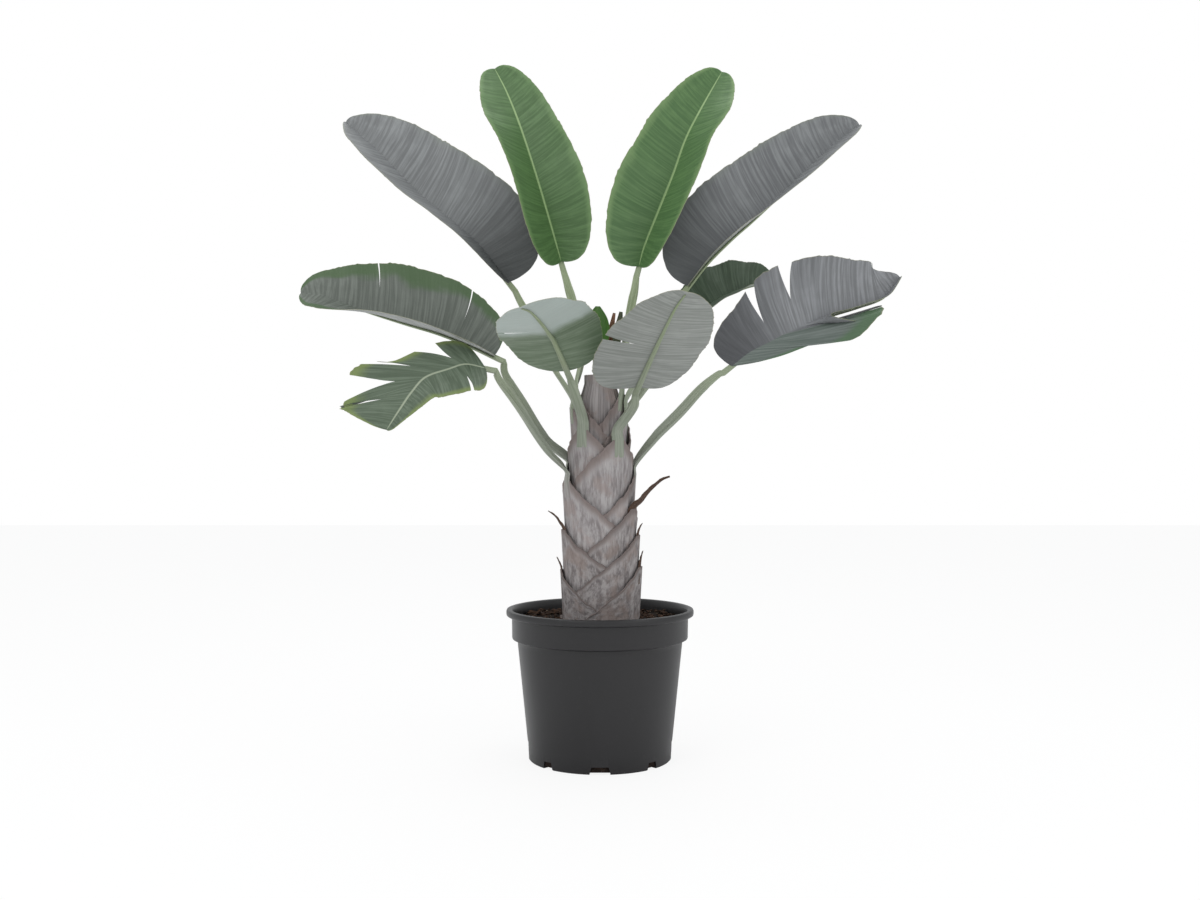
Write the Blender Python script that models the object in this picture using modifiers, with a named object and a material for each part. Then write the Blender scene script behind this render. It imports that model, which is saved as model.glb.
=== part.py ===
"""Potted bird of paradise. Metres, Z up, origin at the middle of the pot's flat foot."""

import math

import bpy
import bmesh
import numpy as np

GAP = 0.0003  # clear space left between pieces that touch

# pot
POT_STEPS = 48
FOOT_RADIUS = 0.1285
RIM_RADIUS = 0.169
RIM_TOP = 0.269
WALL = 0.0025
FLOOR = 0.003
NOTCH_HEIGHT = 0.013
SOIL_TOP = 0.250

# trunk of nested leaf bases
SIDES = 32
BASE_Z = SOIL_TOP + 0.0004
BASE_RADIUS = 0.0705
BASE_STEP = 0.0034
BASE_SKIN = 0.0030
BASE_SLOPE = 0.055
CORE_TOP = 0.690
CORE_NECK = 0.640
CORE_TIP_RADIUS = 0.028

# blades
BLADE = 0.0014
BLADE_COLUMNS = 12
BLADE_ROWS = 4
STALK_STATIONS = 9

# Each leaf: order (0 is the outermost wrap), turn of its base round the trunk in 32nds,
# height where the wrap ends, fall of its margin per 32nd, stalk points, rib points,
# the way its upper side looks at the foot and at the tip, half widths from foot to tip,
# folds of the halves in degrees, lean of the veins in degrees.
LEAVES = {
    "inner_left": dict(
        order=13, turn=18, top=0.650, fall=0.011,
        stalk=[(-0.034, 0.012, 0.720), (-0.042, 0.025, 0.791), (-0.058, 0.040, 0.855)],
        rib=[(-0.072, 0.050, 0.904), (-0.095, 0.060, 0.984), (-0.122, 0.080, 1.076),
             (-0.151, 0.100, 1.167), (-0.177, 0.120, 1.235), (-0.202, 0.140, 1.287)],
        face=[(0, -1, 0.2), (0, -1, 0.2)],
        left=(0.055, 0.085, 0.085, 0.078, 0.070, 0.052, 0.030),
        right=(0.050, 0.082, 0.092, 0.080, 0.065, 0.048, 0.026),
        fold_left=(50, 58, 50, 27, 20), fold_right=(25, 25, 20, 15, 10),
        lean=(-35, 5, 12, 12)),
    "inner_right": dict(
        order=14, turn=30, top=0.655, fall=0.011,
        stalk=[(0.045, 0.006, 0.730), (0.053, 0.026, 0.793), (0.063, 0.040, 0.850)],
        rib=[(0.072, 0.050, 0.895), (0.083, 0.055, 0.933), (0.108, 0.065, 0.996),
             (0.137, 0.080, 1.070), (0.162, 0.100, 1.142), (0.192, 0.120, 1.204),
             (0.234, 0.140, 1.281)],
        face=[(0, -1, 0.2), (0, -1, 0.2)],
        left=(0.055, 0.088, 0.100, 0.088, 0.072, 0.052, 0.028),
        right=(0.050, 0.085, 0.095, 0.086, 0.078, 0.054, 0.028),
        fold_left=(20, 18, 15, 12, 10), fold_right=(58, 60, 54, 38, 15),
        lean=(-30, 5, 12, 12)),
    "outer_left": dict(
        order=11, turn=17, top=0.632, fall=0.012,
        stalk=[(-0.093, 0.025, 0.720), (-0.118, 0.040, 0.776),
               (-0.145, 0.053, 0.827)],
        rib=[(-0.169, 0.060, 0.867), (-0.225, 0.060, 0.937), (-0.273, 0.060, 0.980),
             (-0.330, 0.060, 1.027), (-0.382, 0.060, 1.079), (-0.420, 0.060, 1.118),
             (-0.472, 0.060, 1.164)],
        face=[(0, -1, 0.1), (0, -1, 0.1)],
        left=(0.062, 0.105, 0.116, 0.112, 0.095, 0.068, 0.026),
        right=(0.065, 0.107, 0.118, 0.110, 0.090, 0.060, 0.026),
        fold_left=(80, 76, 73, 67, 62), fold_right=(5, 4, 2, 0, 0),
        lean=(-25, 5, 12, 12)),
    "outer_right": dict(
        order=12, turn=31, top=0.630, fall=0.012,
        stalk=[(0.080, 0.018, 0.701), (0.110, 0.025, 0.784), (0.137, 0.030, 0.824)],
        rib=[(0.161, 0.030, 0.856), (0.196, 0.030, 0.900), (0.242, 0.030, 0.945),
             (0.277, 0.030, 0.975), (0.326, 0.030, 1.020), (0.372, 0.030, 1.063),
             (0.427, 0.030, 1.114), (0.475, 0.030, 1.151)],
        face=[(0, -1, 0.1), (0, -1, 0.1)],
        left=(0.055, 0.098, 0.109, 0.100, 0.083, 0.058, 0.027),
        right=(0.055, 0.098, 0.109, 0.102, 0.085, 0.060, 0.026),
        fold_left=(5, 4, 2, 0, 0), fold_right=(86, 84, 78, 73, 66),
        lean=(-25, 5, 12, 12)),
    "low_left": dict(
        order=7, turn=15, top=0.520, fall=0.011,
        stalk=[(-0.099, 0.000, 0.575), (-0.139, -0.015, 0.641), (-0.168, -0.025, 0.689)],
        rib=[(-0.189, -0.030, 0.723), (-0.230, -0.030, 0.742), (-0.286, -0.030, 0.764),
             (-0.348, -0.030, 0.782), (-0.416, -0.030, 0.803), (-0.462, -0.030, 0.819),
             (-0.498, -0.030, 0.831), (-0.534, -0.030, 0.835)],
        face=[(0, -1, 0.1), (0, -1, 0.1)],
        left=(0.053, 0.085, 0.100, 0.100, 0.084, 0.056, 0.026),
        right=(0.053, 0.083, 0.100, 0.100, 0.080, 0.052, 0.024),
        fold_left=(86, 86, 84, 66, 35), fold_right=(6, 5, 3, 0, 0),
        lean=(-20, 5, 12, 12),
        tears_right=[(0.30, 0.40, 0.008), (0.57, 0.45, 0.012)]),
    "low_right": dict(
        order=6, turn=0, top=0.510, fall=0.011,
        stalk=[(0.096, 0.000, 0.573), (0.145, 0.000, 0.624), (0.181, 0.000, 0.664),
               (0.213, 0.000, 0.691)],
        rib=[(0.239, 0.000, 0.707), (0.271, 0.000, 0.732), (0.306, 0.000, 0.750),
             (0.340, 0.000, 0.768), (0.383, 0.010, 0.788), (0.418, 0.010, 0.800),
             (0.471, 0.020, 0.816), (0.520, 0.030, 0.835), (0.552, 0.040, 0.873)],
        face=[(0, -1, 0.1), (0, -1, 0.1)],
        left=(0.053, 0.082, 0.116, 0.112, 0.090, 0.064, 0.026),
        right=(0.100, 0.140, 0.150, 0.100, 0.085, 0.058, 0.026),
        fold_left=(6, 5, 3, 0, 0), fold_right=(-10, -5, 0, 60, 84, 84, 84, 84, 84),
        lean=(-30, 5, 12, 12), lean_right=(50, 52, 52, 40, 15, 12, 12, 12, 12),
        tears_left=[(0.33, 0.35, 0.03), (0.43, 0.45, 0.04), (0.72, 0.85, 0.01)],
        tears_right=[(0.40, 0.10, 0.03)]),
    "front_left": dict(
        order=9, turn=21, top=0.590, fall=0.011,
        stalk=[(-0.044, -0.080, 0.655)],
        rib=[(-0.057, -0.100, 0.692), (-0.076, -0.160, 0.735), (-0.083, -0.200, 0.745),
             (-0.093, -0.260, 0.757), (-0.108, -0.320, 0.770), (-0.122, -0.360, 0.772)],
        face=[(0, 0.5, 0.8), (-0.2, 0.4, 0.8), (-0.2, 0.3, 1)],
        left=(0.045, 0.075, 0.085, 0.080, 0.068, 0.045, 0.024),
        right=(0.045, 0.075, 0.085, 0.080, 0.068, 0.045, 0.024),
        fold_left=(10, 10, 5), fold_right=(10, 10, 5),
        lean=(-15, 0, 5, 5),
        tears_right=[(0.50, 0.25, 0.02)]),
    "front_right": dict(
        order=8, turn=27, top=0.572, fall=0.011,
        stalk=[(0.058, -0.075, 0.630)],
        rib=[(0.066, -0.100, 0.664), (0.079, -0.150, 0.694), (0.092, -0.210, 0.723),
             (0.104, -0.270, 0.749), (0.117, -0.330, 0.775), (0.131, -0.380, 0.793)],
        face=[(0, 0.5, 0.8), (0.1, 0.4, 0.8)],
        left=(0.045, 0.068, 0.078, 0.080, 0.070, 0.052, 0.026),
        right=(0.065, 0.094, 0.094, 0.080, 0.060, 0.038, 0.018),
        fold_left=(5, 5, 5), fold_right=(5, 5, 5),
        lean=(-20, 0, 5, 5), lean_right=(-40, -12, 5, 10),
        tears_right=[(0.44, 0.35, 0.02)]),
    "low_front_left": dict(
        order=5, turn=18, top=0.500, fall=0.011,
        stalk=[(-0.098, -0.052, 0.560), (-0.141, -0.072, 0.629), (-0.175, -0.080, 0.678)],
        rib=[(-0.200, -0.085, 0.698), (-0.233, -0.092, 0.704), (-0.262, -0.100, 0.695),
             (-0.300, -0.110, 0.680), (-0.322, -0.120, 0.654), (-0.340, -0.130, 0.625),
             (-0.362, -0.140, 0.589)],
        face=[(0, -1, 0.8), (0, -1, 0.4), (0, -1, 0)],
        left=(0.055, 0.062, 0.055, 0.042, 0.028, 0.016, 0.008),
        right=(0.040, 0.062, 0.112, 0.124, 0.110, 0.080, 0.040),
        fold_left=(10, 0, 0, 0), fold_right=(15, 5, 0, 0),
        lean=(-20, -5, 5, 15), lean_right=(30, 58, 56, 32, 15),
        tears_left=[(0.30, 0.45, 0.04)],
        tears_right=[(0.27, 0.35, 0.04), (0.40, 0.45, 0.05), (0.50, 0.40, 0.05),
                     (0.62, 0.40, 0.04)]),
    "back_right": dict(
        order=10, turn=3, top=0.600, fall=0.012,
        stalk=[(0.094, 0.080, 0.686), (0.132, 0.105, 0.763)],
        rib=[(0.171, 0.120, 0.806), (0.211, 0.130, 0.835), (0.246, 0.140, 0.855),
             (0.285, 0.150, 0.870), (0.331, 0.160, 0.880)],
        face=[(-0.3, -0.6, 0.7), (-0.3, -0.6, 0.7)],
        left=(0.040, 0.060, 0.070, 0.070, 0.060, 0.045, 0.025),
        right=(0.040, 0.060, 0.070, 0.070, 0.060, 0.045, 0.025),
        fold_left=(30, 30, 30), fold_right=(30, 30, 30),
        lean=(-15, 8, 18, 25)),
}

# Old leaf bases: order, turn, height of the tip's foot, fall per 32nd, dried tip points
OLD_BASES = {
    "old_base_a": dict(order=0, turn=31, top=0.345, fall=0.0115,
                       tip=[(0.074, -0.012, 0.362), (0.077, -0.013, 0.374)]),
    "old_base_b": dict(order=1, turn=16, top=0.340, fall=0.0105,
                       tip=[(-0.0735, 0, 0.352), (-0.078, 0, 0.362)]),
    "old_base_c": dict(order=2, turn=31, top=0.402, fall=0.0105,
                       tip=[(0.071, -0.014, 0.414), (0.076, -0.015, 0.424)]),
    "old_base_d": dict(order=3, turn=17, top=0.412, fall=0.0095,
                       tip=[(-0.072, -0.013, 0.424), (-0.080, -0.014, 0.436),
                            (-0.093, -0.015, 0.446)]),
    "old_base_e": dict(order=4, turn=30, top=0.450, fall=0.0110,
                       tip=[(0.074, -0.029, 0.464), (0.088, -0.034, 0.482),
                            (0.110, -0.040, 0.502), (0.124, -0.042, 0.508)]),
}

# Centre growth: path, half widths, bends, thicknesses
SHOOTS = {
    "young_leaf": dict(
        path=[(-0.006, 0.004, CORE_TOP + 0.0004), (-0.005, 0.004, 0.715),
              (-0.004, 0.002, 0.745), (-0.005, 0.000, 0.780), (-0.004, 0.000, 0.815)],
        half=(0.006, 0.008, 0.020, 0.030, 0.024, 0.004),
        bend=(0.010, 0.009, 0.014, 0.022, 0.020, 0.008),
        thick=(0.005, 0.004, 0.0022, 0.0020, 0.0018, 0.0016)),
    "spear": dict(
        path=[(0.010, 0.016, CORE_TOP + 0.0004), (0.012, 0.021, 0.715),
              (0.016, 0.021, 0.750), (0.026, 0.020, 0.805)],
        half=(0.008, 0.008, 0.007, 0.005, 0.002),
        bend=(0.0055, 0.0055, 0.005, 0.004, 0.002),
        thick=(0.004, 0.004, 0.0035, 0.003, 0.002)),
    "dark_tip": dict(
        path=[(0.017, 0.003, CORE_TOP + 0.0004), (0.024, 0.002, 0.720),
              (0.033, 0.000, 0.770), (0.038, 0.000, 0.805)],
        half=(0.006, 0.006, 0.009, 0.003),
        bend=(0.005, 0.005, 0.010, 0.005),
        thick=(0.0035, 0.003, 0.0022, 0.0016)),
}

COLOURS = {
    "pot": ((0.022, 0.021, 0.023), 0.4),
    "soil": ((0.030, 0.022, 0.018), 0.95),
    "trunk": ((0.20, 0.17, 0.16), 0.85),
    "stalk": ((0.20, 0.27, 0.15), 0.5),
    "blade": ((0.13, 0.18, 0.12), 0.45),
    "young": ((0.12, 0.25, 0.07), 0.45),
    "spear": ((0.25, 0.13, 0.08), 0.6),
}


def unit(v):
    return v / np.linalg.norm(v, axis=-1, keepdims=True)


def curve(points, count):
    """Points evenly along a smooth line through the given ones."""
    points = np.array(points, float)
    ends = np.vstack([2 * points[0] - points[1], points, 2 * points[-1] - points[-2]])
    t = np.linspace(0, 1, 24, endpoint=False)[:, None]
    fine = [0.5 * (2 * b + (c - a) * t + (2 * a - 5 * b + 4 * c - d) * t**2
                   + (3 * b - a - 3 * c + d) * t**3)
            for a, b, c, d in zip(ends, ends[1:], ends[2:], ends[3:])]
    fine = np.vstack(fine + [points[-1:]])
    run = np.concatenate([[0], np.cumsum(np.linalg.norm(np.diff(fine, axis=0), axis=1))])
    even = np.linspace(0, run[-1], count)
    return np.stack([np.interp(even, run, fine[:, k]) for k in range(points.shape[1])], 1)


def spread(values, s):
    """Values given evenly from 0 to 1, read smoothly at s."""
    values = np.atleast_1d(np.array(values, float))
    if len(values) < 3:
        return np.interp(s, np.linspace(0, 1, len(values)), values)
    grid = np.stack([np.linspace(0, 1, len(values)), values], 1)
    line = curve(grid, 300)
    return np.interp(s, line[:, 0], line[:, 1])


def frames(path, faces):
    """Along, upper-side and sideways directions at each point of a line."""
    along = unit(np.gradient(path, axis=0))
    k = np.linspace(0, 1, len(faces))
    s = np.linspace(0, 1, len(path))
    face = np.stack([np.interp(s, k, np.array(faces, float)[:, i]) for i in range(3)], 1)
    side = unit(np.cross(along, face))
    return along, np.cross(side, along), side


def arc(start, slope, length):
    """End of an arc that leaves at one angle and turns steadily."""
    h = slope * length / 2
    reach = length * np.sinc(h / np.pi)
    return reach * np.cos(start + h), reach * np.sin(start + h)


def stations(leaf, columns):
    """Places along the rib where both halves have a vein, every tear among them."""
    tears = sorted({t[0] for name in ("tears_left", "tears_right") for t in leaf.get(name, [])})
    marks = [0] + tears + [1]
    places = [0.0]
    for a, b in zip(marks, marks[1:]):
        count = max(1, round(columns * (b - a)))
        places += [a + (b - a) * i / count for i in range(1, count + 1)]
    return np.array(places)


def rib_lines(leaf):
    """The rib and its directions, with the way to read them at any place."""
    rib = curve(leaf["rib"], 240)
    along, face, across = frames(rib, leaf["face"])
    fine = np.linspace(0, 1, 240)

    def at(table, s):
        return np.stack([np.interp(s, fine, table[:, i]) for i in range(3)], -1)

    return at, rib, along, face, across


def half_strips(leaf, side, columns, rows):
    """Grids of points, one for each strip of a half blade (side -1 left, 1 right)."""
    name = "left" if side < 0 else "right"
    at, rib, along, face, across = rib_lines(leaf)
    widths = (0,) + tuple(leaf[name]) + (0,)
    tears = leaf.get("tears_" + name, [])
    lifts = leaf.get("lifts_" + name, [0] * (len(tears) + 1))
    reaches = leaf.get("reaches_" + name, [1] * (len(tears) + 1))
    joins = [0] + [t[0] for t in tears] + [1]
    roots = [1] + [t[1] for t in tears] + [1]
    gaps = [0] + [t[2] for t in tears] + [0]
    u = np.linspace(0, 1, rows + 1)[:, None]
    places = stations(leaf, columns)
    grids = []
    for k in range(len(tears) + 1):
        a = places[(places > joins[k] - 1e-6) & (places < joins[k + 1] + 1e-6)][None, :]
        a = (a - joins[k]) / (joins[k + 1] - joins[k])
        open_a = np.clip((u - roots[k]) / max(1 - roots[k], 1e-9), 0, 1)
        open_b = np.clip((u - roots[k + 1]) / max(1 - roots[k + 1], 1e-9), 0, 1)
        first = joins[k] + gaps[k] / 2 * open_a
        last = joins[k + 1] - gaps[k + 1] / 2 * open_b
        t = first + (last - first) * a
        s = (1 - np.cos(np.pi * t)) / 2
        uu = u + 0 * a
        inner = [roots[i] for i in (k, k + 1) if 0 < i <= len(tears)]
        root = max(inner) if inner else 0.999
        fold = np.radians(spread(leaf["fold_" + name], s))
        curl = np.radians(spread(leaf.get("curl_" + name, (0, 0)), s))
        lean = np.radians(spread(leaf.get("lean_" + name, leaf["lean"]), s))
        w = np.maximum(spread(widths, t), 0)
        w = w * (1 + (reaches[k] - 1) * np.clip((uu - root) / (1 - root), 0, 1))
        near = np.minimum(uu, root)
        x1, z1 = arc(fold, curl, near)
        turn = curl + np.radians(lifts[k]) / max(1 - root, 1e-3)
        x2, z2 = arc(fold + curl * near, turn, uu - near)
        p = at(rib, s) + (w * np.cos(lean) * (x1 + x2))[..., None] * side * at(across, s)
        p = p + (w * np.cos(lean) * (z1 + z2))[..., None] * at(face, s)
        p = p + (w * (np.sin(lean) * uu + 0.1 * uu**3))[..., None] * at(along, s)
        grids.append(p)
    return grids


def channel(centre, out, side, half, bend, thick):
    """Ten points round a bent strip: the inner side's middle is the centre."""
    a = np.array([-1, -0.5, 0, 0.5, 1])
    b = a * half / bend
    deep = bend + thick * (1 - 0.3 * a**2)
    inner = [centre + bend * (math.cos(t) - 1) * out + bend * math.sin(t) * side for t in b]
    outer = [centre + (d * math.cos(t) - bend) * out + d * math.sin(t) * side
             for t, d in zip(b, deep)]
    return outer + inner[::-1]


def outer_radius(order, z):
    return BASE_RADIUS - BASE_STEP * order + BASE_SLOPE * (z - BASE_Z)


def skirt(radius, turn, step, z):
    """A point of a 32-sided ring, or the middle of one of its sides."""
    def corner(n):
        angle = math.tau * (turn + n) / SIDES
        return np.array([radius * math.cos(angle), radius * math.sin(angle), z])
    low, high = math.floor(step), math.ceil(step)
    return (corner(low) + corner(high)) / 2


def leaf_base(order, turn, top, fall, sections):
    """A closed wrap round the trunk that ends in the given ten-point sections."""
    steps = [0, 0.5] + list(range(1, SIDES)) + [SIDES - 0.5]
    verts, faces = [], []
    rings = {}
    for key in ("outer low", "outer high", "inner low", "inner high"):
        rings[key] = []
        for step in steps:
            away = max(min(step, SIDES - step) - 1, 0)
            z = BASE_Z if "low" in key else max(top - fall * away, BASE_Z + 0.004)
            radius = outer_radius(order, z) - (BASE_SKIN if "inner" in key else 0)
            rings[key].append(len(verts))
            verts.append(skirt(radius, turn, step, z))
    n = len(steps)
    for i in range(n):
        j = (i + 1) % n
        ol, oh, il, ih = (rings[k] for k in ("outer low", "outer high", "inner low", "inner high"))
        faces.append((ol[i], ol[j], oh[j], oh[i]))
        faces.append((il[j], il[i], ih[i], ih[j]))
        faces.append((il[i], il[j], ol[j], ol[i]))
        if not (steps[i] < 1 or steps[i] >= SIDES - 1):
            faces.append((oh[i], oh[j], ih[j], ih[i]))
    order_of = [n - 2, n - 1, 0, 1, 2]
    loop = [rings["outer high"][i] for i in order_of] + [rings["inner high"][i]
                                                         for i in order_of[::-1]]
    for section in sections:
        fresh = list(range(len(verts), len(verts) + 10))
        verts.extend(section)
        for i in range(10):
            j = (i + 1) % 10
            faces.append((loop[i], loop[j], fresh[j], fresh[i]))
        loop = fresh
    faces.append(tuple(loop))
    return verts, faces


def add_mesh(name, verts, faces, colour, collection):
    mesh = bpy.data.meshes.new(name)
    mesh.from_pydata([tuple(v) for v in verts], [], faces)
    bm = bmesh.new()
    bm.from_mesh(mesh)
    bmesh.ops.remove_doubles(bm, verts=bm.verts, dist=0.00002)
    bmesh.ops.recalc_face_normals(bm, faces=bm.faces)
    bm.to_mesh(mesh)
    bm.free()
    item = bpy.data.objects.new(name, mesh)
    collection.objects.link(item)
    base, roughness = COLOURS[colour]
    material = bpy.data.materials.new(name)
    material.use_nodes = True
    shader = material.node_tree.nodes["Principled BSDF"]
    shader.inputs["Base Color"].default_value = (*base, 1)
    shader.inputs["Roughness"].default_value = roughness
    mesh.materials.append(material)
    return item


def build_blade(name, leaf, collection):
    verts, faces = [], []
    for side in (-1, 1):
        for grid in half_strips(leaf, side, BLADE_COLUMNS, BLADE_ROWS):
            rows, columns = grid.shape[:2]
            start = len(verts)
            verts.extend(grid.reshape(-1, 3))
            for r in range(rows - 1):
                for c in range(columns - 1):
                    q = start + r * columns + c
                    quad = (q, q + 1, q + columns + 1, q + columns)
                    faces.append(quad if side > 0 else quad[::-1])
    blade = add_mesh("blade_" + name, verts, faces, "blade", collection)
    solid = blade.modifiers.new("sheet", "SOLIDIFY")
    solid.thickness = BLADE
    solid.offset = 0
    solid.use_even_offset = False
    solid.thickness_clamp = 0
    return blade


def stalk_sections(leaf):
    """Ten-point sections from the trunk, along the stalk and under the blade."""
    angle = math.tau * leaf["turn"] / SIDES
    out0 = np.array([math.cos(angle), math.sin(angle), 0])
    inner = [outer_radius(leaf["order"], z) - BASE_SKIN for z in (leaf["top"], leaf["top"] + 0.02)]
    start = [out0 * inner[0] + (0, 0, leaf["top"]), out0 * inner[1] + (0, 0, leaf["top"] + 0.02)]
    at, rib, along, face, across = rib_lines(leaf)
    s = (1 - np.cos(np.pi * stations(leaf, BLADE_COLUMNS))) / 2
    s = s[s < 0.97]
    rib, along, face, across = (at(table, s) for table in (rib, along, face, across))
    left, right = spread(leaf["fold_left"], s), spread(leaf["fold_right"], s)
    tilt = np.radians((right - left) / 2)[:, None]
    mean = np.radians((right + left) / 2)[:, None]
    under = unit(np.sin(tilt) * across - np.cos(tilt) * face)
    half = 0.0045 - 0.0033 * s[:, None]
    drop = BLADE / 2 + GAP + np.maximum(0, -np.tan(mean)) * half + 0.0005
    below = rib + under * drop
    path = curve(start + list(leaf["stalk"]) + [below[0] - 0.02 * unit(along[0])],
                 STALK_STATIONS)[1:]
    line = np.vstack([[start[0]], path, below])
    tangent = unit(np.gradient(line, axis=0))
    n = len(path)
    sections = []
    for i in range(1, len(line)):
        f = min(i / n, 1)
        want = out0 * (1 - f) + under[0] * f if i <= n else under[i - n - 1]
        t = tangent[i]
        out = unit(want - t * np.dot(want, t))
        across = np.cross(t, out)
        if i <= n:
            k = (i - 1) / max(n - 1, 1)
            radius = outer_radius(leaf["order"], leaf["top"]) - BASE_SKIN
            width = np.interp(k, (0, 0.35, 0.8, 1), (0.0125, 0.0100, 0.0075, 0.0055))
            bend = np.interp(k, (0, 0.12, 0.35, 0.8, 1), (radius, 0.03, 0.0085, 0.008, 0.05))
            thick = np.interp(k, (0, 0.2, 0.6, 1), (0.0032, 0.0050, 0.0060, 0.0060))
        else:
            width = half[i - n - 1, 0]
            bend, thick = 0.05, 0.006 - 0.0045 * s[i - n - 1]
        sections.append(channel(line[i], out, across, width, bend, thick))
    return sections


def build_stalk(name, leaf, collection):
    verts, faces = leaf_base(leaf["order"], leaf["turn"], leaf["top"], leaf["fall"],
                             stalk_sections(leaf))
    return add_mesh("stalk_" + name, verts, faces, "stalk", collection)


def build_old_base(name, base, collection):
    angle = math.tau * base["turn"] / SIDES
    out0 = np.array([math.cos(angle), math.sin(angle), 0])
    inner = outer_radius(base["order"], base["top"]) - BASE_SKIN
    line = np.array([out0 * inner + (0, 0, base["top"])] + list(base["tip"]))
    tangent = unit(np.gradient(line, axis=0))
    sections = []
    for i in range(1, len(line)):
        f = i / (len(line) - 1)
        t = tangent[i]
        out = unit(out0 - t * np.dot(out0, t))
        sections.append(channel(line[i], out, np.cross(t, out), 0.0125 * (1 - f) + 0.003,
                                0.060 * (1 - f) + 0.008, 0.003 - 0.0012 * f))
    verts, faces = leaf_base(base["order"], base["turn"], base["top"], base["fall"], sections)
    return add_mesh(name, verts, faces, "trunk", collection)


def build_shoot(name, shoot, colour, collection):
    line = curve(shoot["path"], 10)
    tangent = unit(np.gradient(line, axis=0))
    verts, faces, loop = [], [], []
    for i in range(10):
        k = i / 9
        t = np.array([0, 0, 1.0]) if i == 0 else tangent[i]
        want = np.array([0, 1.0, 0])
        out = unit(want - t * np.dot(want, t))
        half, bend, thick = (spread(shoot[key], k) for key in ("half", "bend", "thick"))
        fresh = list(range(len(verts), len(verts) + 10))
        verts.extend(channel(line[i], out, np.cross(t, out), half, bend, thick))
        if loop:
            for a in range(10):
                b = (a + 1) % 10
                faces.append((loop[a], loop[b], fresh[b], fresh[a]))
        else:
            faces.append(tuple(fresh))
        loop = fresh
    faces.append(tuple(loop))
    return add_mesh(name, verts, faces, colour, collection)


def build_core(collection):
    order = max(leaf["order"] for leaf in LEAVES.values()) + 1
    verts, faces = [], []
    rings = ((outer_radius(order, BASE_Z), BASE_Z), (outer_radius(order, CORE_NECK), CORE_NECK),
             (CORE_TIP_RADIUS + 0.003, CORE_NECK + 0.015), (CORE_TIP_RADIUS, CORE_TOP))
    for radius, z in rings:
        verts.extend(skirt(radius, 0, i, z) for i in range(SIDES))
    for k in range(len(rings) - 1):
        for i in range(SIDES):
            j = (i + 1) % SIDES
            low, high = k * SIDES, (k + 1) * SIDES
            faces.append((low + i, low + j, high + j, high + i))
    faces.append(tuple(range(SIDES)))
    faces.append(tuple(range(3 * SIDES, 4 * SIDES)))
    return add_mesh("stem_core", verts, faces, "trunk", collection)


def turned(name, profile, colour, collection):
    """A body turned from a half section, axis first and last."""
    verts = [(r, 0, z) for r, z in profile]
    item = add_mesh(name, verts, [], colour, collection)
    bm = bmesh.new()
    points = [bm.verts.new(v) for v in verts]
    for a, b in zip(points, points[1:]):
        bm.edges.new((a, b))
    bm.to_mesh(item.data)
    bm.free()
    screw = item.modifiers.new("turn", "SCREW")
    screw.steps = screw.render_steps = POT_STEPS
    screw.use_merge_vertices = True
    screw.merge_threshold = 0.0001
    screw.use_normal_calculate = True
    screw.use_smooth_shade = False
    return item


def build_pot(collection, cutters):
    inside = FOOT_RADIUS - WALL
    profile = [
        (0, 0), (FOOT_RADIUS - 0.001, 0), (FOOT_RADIUS, 0.001), (FOOT_RADIUS + 0.0010, 0.030),
        (0.1484, 0.212), (0.1570, 0.216), (0.1585, 0.218), (0.1590, 0.256),
        (0.1660, 0.257), (RIM_RADIUS, 0.260), (RIM_RADIUS, 0.266), (0.1665, RIM_TOP),
        (0.1610, RIM_TOP), (0.1585, 0.267), (0.1560, 0.256), (0.1556, 0.2195),
        (0.1459, 0.2145), (inside + 0.0010, 0.030), (inside, FLOOR), (0, FLOOR)]
    pot = turned("pot", profile, "pot", collection)
    for i in range(8):
        wide = 0.037 if i % 2 == 0 else 0.024
        low, high = wide / 2, wide / 2 - 0.0035
        verts = []
        for r in (0.112, 0.142):
            verts += [(r, -low - 0.0002, -0.001), (r, low + 0.0002, -0.001),
                      (r, high, NOTCH_HEIGHT), (r, -high, NOTCH_HEIGHT)]
        faces = [(0, 1, 2, 3), (4, 5, 6, 7), (0, 1, 5, 4), (1, 2, 6, 5), (2, 3, 7, 6),
                 (3, 0, 4, 7)]
        cutter = add_mesh("notch_%d" % i, verts, faces, "pot", cutters)
        cutter.rotation_euler[2] = math.radians(-90 + 45 * i)
        cutter.hide_render = True
        cutter.display_type = "WIRE"
        cut = pot.modifiers.new("notch_%d" % i, "BOOLEAN")
        cut.operation = "DIFFERENCE"
        cut.solver = "EXACT"
        cut.object = cutter
    return pot


def build_soil(collection):
    inside = FOOT_RADIUS - WALL
    play = GAP + 0.0001
    profile = [
        (0, FLOOR + play), (inside - play, FLOOR + play), (inside + 0.0010 - play, 0.030),
        (0.1459 - play, 0.2145 + play), (0.1556 - play, 0.2195 + play),
        (0.1557 - play, SOIL_TOP - 0.003), (0.1535, SOIL_TOP), (0, SOIL_TOP)]
    return turned("soil", profile, "soil", collection)


def main():
    for item in list(bpy.data.objects):
        bpy.data.objects.remove(item, do_unlink=True)
    plant = bpy.data.collections.new("potted_bird_of_paradise")
    cutters = bpy.data.collections.new("cutters")
    bpy.context.scene.collection.children.link(plant)
    bpy.context.scene.collection.children.link(cutters)
    build_pot(plant, cutters)
    build_soil(plant)
    build_core(plant)
    for name, base in OLD_BASES.items():
        build_old_base(name, base, plant)
    for name, leaf in LEAVES.items():
        build_stalk(name, leaf, plant)
        build_blade(name, leaf, plant)
    build_shoot("young_leaf", SHOOTS["young_leaf"], "young", plant)
    build_shoot("spear", SHOOTS["spear"], "spear", plant)
    build_shoot("dark_tip", SHOOTS["dark_tip"], "young", plant)


main()
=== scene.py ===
"""Potted bird of paradise: the looks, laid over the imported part. Metres, Z up."""

import math
import random

import bpy
import numpy as np
from mathutils import Euler, Matrix, Vector


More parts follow.
